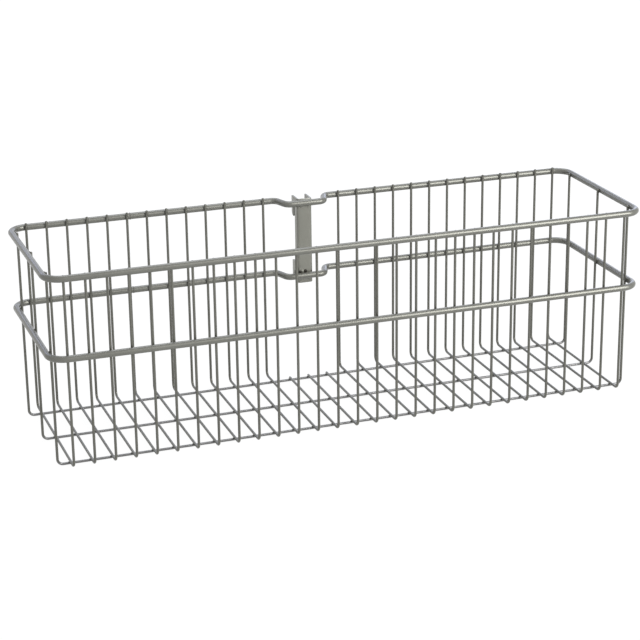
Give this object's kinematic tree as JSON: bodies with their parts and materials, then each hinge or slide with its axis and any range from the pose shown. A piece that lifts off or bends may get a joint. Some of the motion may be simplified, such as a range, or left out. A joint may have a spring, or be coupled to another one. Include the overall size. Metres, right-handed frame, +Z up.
{
  "type": "wire locker basket",
  "caption": "Long open welded wire basket with heavy wire rims and a folded back bracket that hooks into a slotted rail.",
  "frame": {"origin": "middle of the footprint of the rims, at the height of the lowest wires' undersides, which is the surface that the basket can stand on", "axes": "+X along the basket, +Y from the front wall to the wall rail, +Z up"},
  "size_m": [0.449, 0.1344, 0.1449],
  "materials": {
    "wire_paint": "satin silver grey",
    "rim_paint": "satin silver grey",
    "bracket_paint": "satin silver grey"
  },
  "bodies": {
    "root": {"cross_wire_01": "wire_paint", "cross_wire_02": "wire_paint", "cross_wire_03": "wire_paint", "cross_wire_04": "wire_paint", "cross_wire_05": "wire_paint", "cross_wire_06": "wire_paint", "cross_wire_07": "wire_paint", "cross_wire_08": "wire_paint", "cross_wire_09": "wire_paint", "cross_wire_10": "wire_paint", "cross_wire_11": "wire_paint", "cross_wire_12": "wire_paint", "cross_wire_13": "wire_paint", "cross_wire_14": "wire_paint", "cross_wire_15": "wire_paint", "cross_wire_16": "wire_paint", "cross_wire_17": "wire_paint", "cross_wire_18": "wire_paint", "cross_wire_19": "wire_paint", "cross_wire_20": "wire_paint", "cross_wire_21": "wire_paint", "cross_wire_22": "wire_paint", "cross_wire_23": "wire_paint", "cross_wire_24": "wire_paint", "cross_wire_25": "wire_paint", "cross_wire_26": "wire_paint", "cross_wire_27": "wire_paint", "cross_wire_28": "wire_paint", "cross_wire_29": "wire_paint", "long_wire_1": "wire_paint", "long_wire_2": "wire_paint", "long_wire_3": "wire_paint", "top_rim": "rim_paint", "middle_rim": "rim_paint", "wall_bracket": "bracket_paint"}
  },
  "joints": []
}
